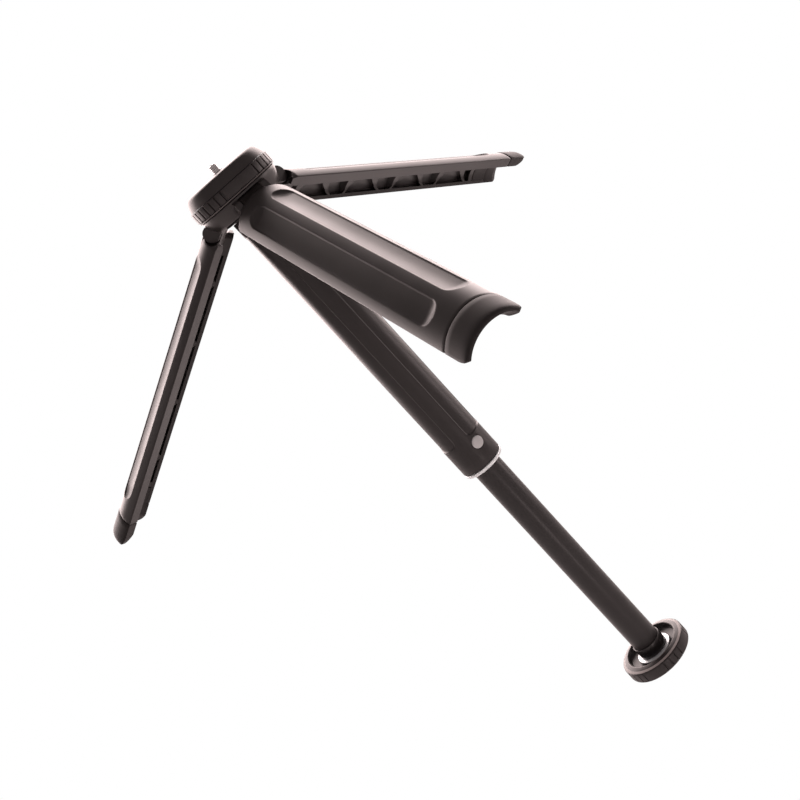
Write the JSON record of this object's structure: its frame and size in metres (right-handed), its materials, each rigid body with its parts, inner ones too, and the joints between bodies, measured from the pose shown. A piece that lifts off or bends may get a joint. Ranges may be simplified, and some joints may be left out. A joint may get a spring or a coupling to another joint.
{
  "type": "tripod selfie stick",
  "caption": "Telescoping selfie stick whose folding shell legs wrap the grip tube and open into a tabletop tripod, with a threaded stud at each end.",
  "frame": {"origin": "centre of the flat tip of the top stud", "axes": "+Z along the pole towards the top stud, -Y towards the front leg and the lock button"},
  "size_m": [0.4442, 0.3905, 0.5105],
  "materials": {
    "hub": "satin",
    "stop_plate": "satin",
    "hub_bolt": "satin",
    "lip_ring": "satin",
    "tube_plug": "matte",
    "grip_tube": "satin",
    "guide_bush": "satin",
    "end_ring": "satin",
    "hinge_pin_1": "satin",
    "hinge_pin_2": "satin",
    "hinge_pin_3": "satin",
    "cap": "satin",
    "grip_ring": "satin",
    "top_stud": "bright",
    "leg_shell_1": "satin",
    "foot_1": "matte",
    "leg_shell_2": "satin",
    "foot_2": "matte",
    "leg_shell_3": "satin",
    "foot_3": "matte",
    "lock_button": "satin",
    "extension_tube": "satin",
    "tail_plug": "satin",
    "end_sleeve": "gloss",
    "end_plug": "satin",
    "steel_washer": "satin",
    "thumbwheel": "satin",
    "wheel_pad": "matte",
    "camera_screw": "bright"
  },
  "bodies": {
    "base": {"hub": "hub", "stop_plate": "stop_plate", "hub_bolt": "hub_bolt", "lip_ring": "lip_ring", "tube_plug": "tube_plug", "grip_tube": "grip_tube", "guide_bush": "guide_bush", "end_ring": "end_ring", "hinge_pin_1": "hinge_pin_1", "hinge_pin_2": "hinge_pin_2", "hinge_pin_3": "hinge_pin_3"},
    "disc": {"cap": "cap", "grip_ring": "grip_ring", "top_stud": "top_stud"},
    "leg_1": {"leg_shell_1": "leg_shell_1", "foot_1": "foot_1"},
    "leg_2": {"leg_shell_2": "leg_shell_2", "foot_2": "foot_2"},
    "leg_3": {"leg_shell_3": "leg_shell_3", "foot_3": "foot_3"},
    "button": {"lock_button": "lock_button"},
    "extension": {"extension_tube": "extension_tube", "tail_plug": "tail_plug", "end_sleeve": "end_sleeve", "end_plug": "end_plug", "steel_washer": "steel_washer"},
    "wheel": {"thumbwheel": "thumbwheel", "wheel_pad": "wheel_pad", "camera_screw": "camera_screw"}
  },
  "joints": [
    {"name": "disc_spin", "type": "hinge", "parent": "base", "child": "disc", "pos_m": [0, 0, -0.02], "axis": [0, 0, 1], "continuous": true},
    {"name": "leg_1_hinge", "type": "hinge", "parent": "base", "child": "leg_1", "pos_m": [0.02468, 0.01425, -0.034], "axis": [-0.5, 0.866, 0], "range_deg": [0, 61]},
    {"name": "leg_2_hinge", "type": "hinge", "parent": "base", "child": "leg_2", "pos_m": [0, -0.0285, -0.034], "axis": [1, 0, 0], "range_deg": [0, 61]},
    {"name": "leg_3_hinge", "type": "hinge", "parent": "base", "child": "leg_3", "pos_m": [-0.02468, 0.01425, -0.034], "axis": [-0.5, -0.866, 0], "range_deg": [0, 61]},
    {"name": "lock_press", "type": "slide", "parent": "base", "child": "button", "axis": [-0.2079, 0.9781, 0], "range_m": [0, 0.001]},
    {"name": "extension_slide", "type": "slide", "parent": "base", "child": "extension", "axis": [0, 0, 1], "range_m": [0, 0.185]},
    {"name": "wheel_spin", "type": "hinge", "parent": "extension", "child": "wheel", "pos_m": [0, 0, -0.5], "axis": [0, 0, 1], "continuous": true}
  ]
}
